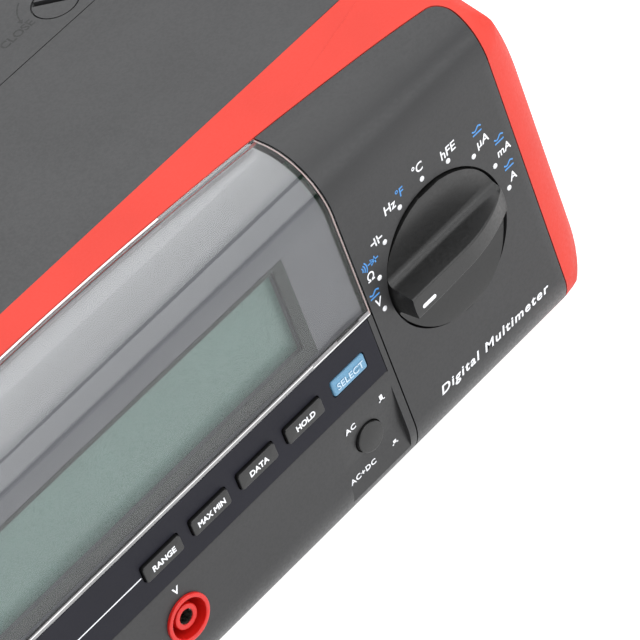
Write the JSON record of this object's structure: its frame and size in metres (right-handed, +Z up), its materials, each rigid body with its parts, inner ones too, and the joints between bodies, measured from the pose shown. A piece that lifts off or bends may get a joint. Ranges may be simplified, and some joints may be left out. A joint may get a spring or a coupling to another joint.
{
  "type": "bench multimeter",
  "caption": "Low, wide bench multimeter: curved display window, rotary function selector, push buttons, test sockets, battery lid, carrying handle and tilt legs.",
  "frame": {"origin": "bottom centre of the bounding box, on the plane that the rubber feet stand on", "axes": "+Z up, +X to the right as seen from the front, -Y is the front with the controls"},
  "size_m": [0.31, 0.24, 0.105],
  "materials": {
    "case_grey": "fine moulded texture",
    "surround_red": "satin moulded plastic",
    "panel_dark": "fine moulded texture",
    "strip_blue_grey": "satin printed film",
    "control_dark": "satin moulded plastic",
    "select_blue": "glossy moulded plastic",
    "window_clear": "clear glossy moulding",
    "lcd_glass": "grey green liquid crystal cell",
    "light_plate": "frosted light guide",
    "jack_red": "glossy moulded plastic",
    "moulding_black": "satin moulded plastic",
    "rotor_ivory": "low friction plastic",
    "contact_brass": "bright",
    "nickel": "nickel plated",
    "screw_steel": "zinc plated",
    "core_steel": "stacked laminations",
    "coil_tape": "polyester tape",
    "capacitor_sleeve": "heat shrink sleeve",
    "fuse_body": "ceramic tube",
    "board_green": "solder mask",
    "ribbon_grey": "flat cable",
    "rubber_black": "soft rubber"
  },
  "bodies": {
    "case": {"bottom_case": "case_grey", "top_cover": "case_grey", "rear_panel": "case_grey", "front_frame": "surround_red", "knob_fascia": "panel_dark", "meter_fascia": "panel_dark", "display_window": "window_clear", "button_strip": "strip_blue_grey", "detent_spring": "nickel", "latching_switches": "moulding_black", "tact_switches": "moulding_black", "jack_amps": "jack_red", "jack_milliamps": "jack_red", "jack_common": "moulding_black", "jack_volts": "jack_red", "jack_sleeves": "nickel", "lcd_glass": "lcd_glass", "lcd_frame": "panel_dark", "lcd_backlight": "light_plate", "lcd_connectors": "rubber_black", "main_board": "board_green", "battery_tray": "moulding_black", "battery_contacts": "nickel", "rubber_feet": "rubber_black", "case_screws": "screw_steel", "mains_inlet": "moulding_black", "inlet_blades": "nickel", "serial_port": "nickel", "usb_port": "nickel", "mains_fuse_holder": "moulding_black", "power_board": "board_green", "transformer_core": "core_steel", "transformer_coil": "coil_tape", "filter_capacitors": "capacitor_sleeve", "measuring_board": "board_green", "input_fuses": "fuse_body", "fuse_clips": "nickel", "current_shunt": "contact_brass", "buzzer": "moulding_black", "ribbon_cable": "ribbon_grey", "circuit_chips": "moulding_black"},
    "selector": {"selector_knob": "control_dark", "switch_rotor": "rotor_ivory", "wiper_contacts": "contact_brass"},
    "range_key": {"range_button": "control_dark"},
    "max_min_key": {"max_min_button": "control_dark"},
    "data_key": {"data_button": "control_dark"},
    "hold_key": {"hold_button": "control_dark"},
    "select_key": {"select_button": "select_blue"},
    "ac_dc_key": {"ac_dc_button": "control_dark"},
    "power_key": {"power_button": "surround_red"},
    "light_key": {"light_button": "control_dark"},
    "lid": {"battery_lid": "case_grey"},
    "lock_left": {"coin_lock_left": "case_grey"},
    "lock_right": {"coin_lock_right": "case_grey"},
    "handle": {"carry_handle": "case_grey"},
    "leg_left": {"tilt_leg_left": "moulding_black"},
    "leg_right": {"tilt_leg_right": "moulding_black"},
    "fuse_cap": {"mains_fuse_cap": "moulding_black"}
  },
  "joints": [
    {"name": "selector_turn", "type": "hinge", "parent": "case", "child": "selector", "pos_m": [0.1094, -0.1124, 0.0545], "axis": [0, 1, 0], "range_deg": [0, 180]},
    {"name": "range_press", "type": "slide", "parent": "case", "child": "range_key", "axis": [0, 1, 0], "range_m": [0, 0.0008], "stiffness_N_per_m": 1500},
    {"name": "max_min_press", "type": "slide", "parent": "case", "child": "max_min_key", "axis": [0, 1, 0], "range_m": [0, 0.0008], "stiffness_N_per_m": 1500},
    {"name": "data_press", "type": "slide", "parent": "case", "child": "data_key", "axis": [0, 1, 0], "range_m": [0, 0.0008], "stiffness_N_per_m": 1500},
    {"name": "hold_press", "type": "slide", "parent": "case", "child": "hold_key", "axis": [0, 1, 0], "range_m": [0, 0.0008], "stiffness_N_per_m": 1500},
    {"name": "select_press", "type": "slide", "parent": "case", "child": "select_key", "axis": [0, 1, 0], "range_m": [0, 0.0008], "stiffness_N_per_m": 1500},
    {"name": "ac_dc_press", "type": "slide", "parent": "case", "child": "ac_dc_key", "axis": [0, 1, 0], "range_m": [0, 0.0015], "stiffness_N_per_m": 1000},
    {"name": "power_press", "type": "slide", "parent": "case", "child": "power_key", "axis": [0, 1, 0], "range_m": [0, 0.0015], "stiffness_N_per_m": 1000},
    {"name": "light_press", "type": "slide", "parent": "case", "child": "light_key", "axis": [0, 1, 0], "range_m": [0, 0.0015], "stiffness_N_per_m": 1000},
    {"name": "lid_open", "type": "hinge", "parent": "case", "child": "lid", "pos_m": [0, 0.0828, 0.1046], "axis": [-1, 0, 0], "range_deg": [0, 85]},
    {"name": "lock_left_turn", "type": "hinge", "parent": "lid", "child": "lock_left", "pos_m": [-0.0967, -0.008, 0.1], "axis": [0, 0, 1], "range_deg": [0, 90]},
    {"name": "lock_right_turn", "type": "hinge", "parent": "lid", "child": "lock_right", "pos_m": [0.0967, -0.008, 0.1], "axis": [0, 0, 1], "range_deg": [0, 90]},
    {"name": "handle_swing", "type": "hinge", "parent": "case", "child": "handle", "pos_m": [0, 0.005, 0.084], "axis": [1, 0, 0], "range_deg": [0, 90]},
    {"name": "leg_left_fold", "type": "hinge", "parent": "case", "child": "leg_left", "pos_m": [-0.1, -0.066, 0.0072], "axis": [-1, 0, 0], "range_deg": [0, 95]},
    {"name": "leg_right_fold", "type": "hinge", "parent": "case", "child": "leg_right", "pos_m": [0.1, -0.066, 0.0072], "axis": [-1, 0, 0], "range_deg": [0, 95]},
    {"name": "fuse_cap_turn", "type": "hinge", "parent": "case", "child": "fuse_cap", "pos_m": [-0.048, 0.104, 0.036], "axis": [0, 1, 0], "range_deg": [0, 45]}
  ]
}
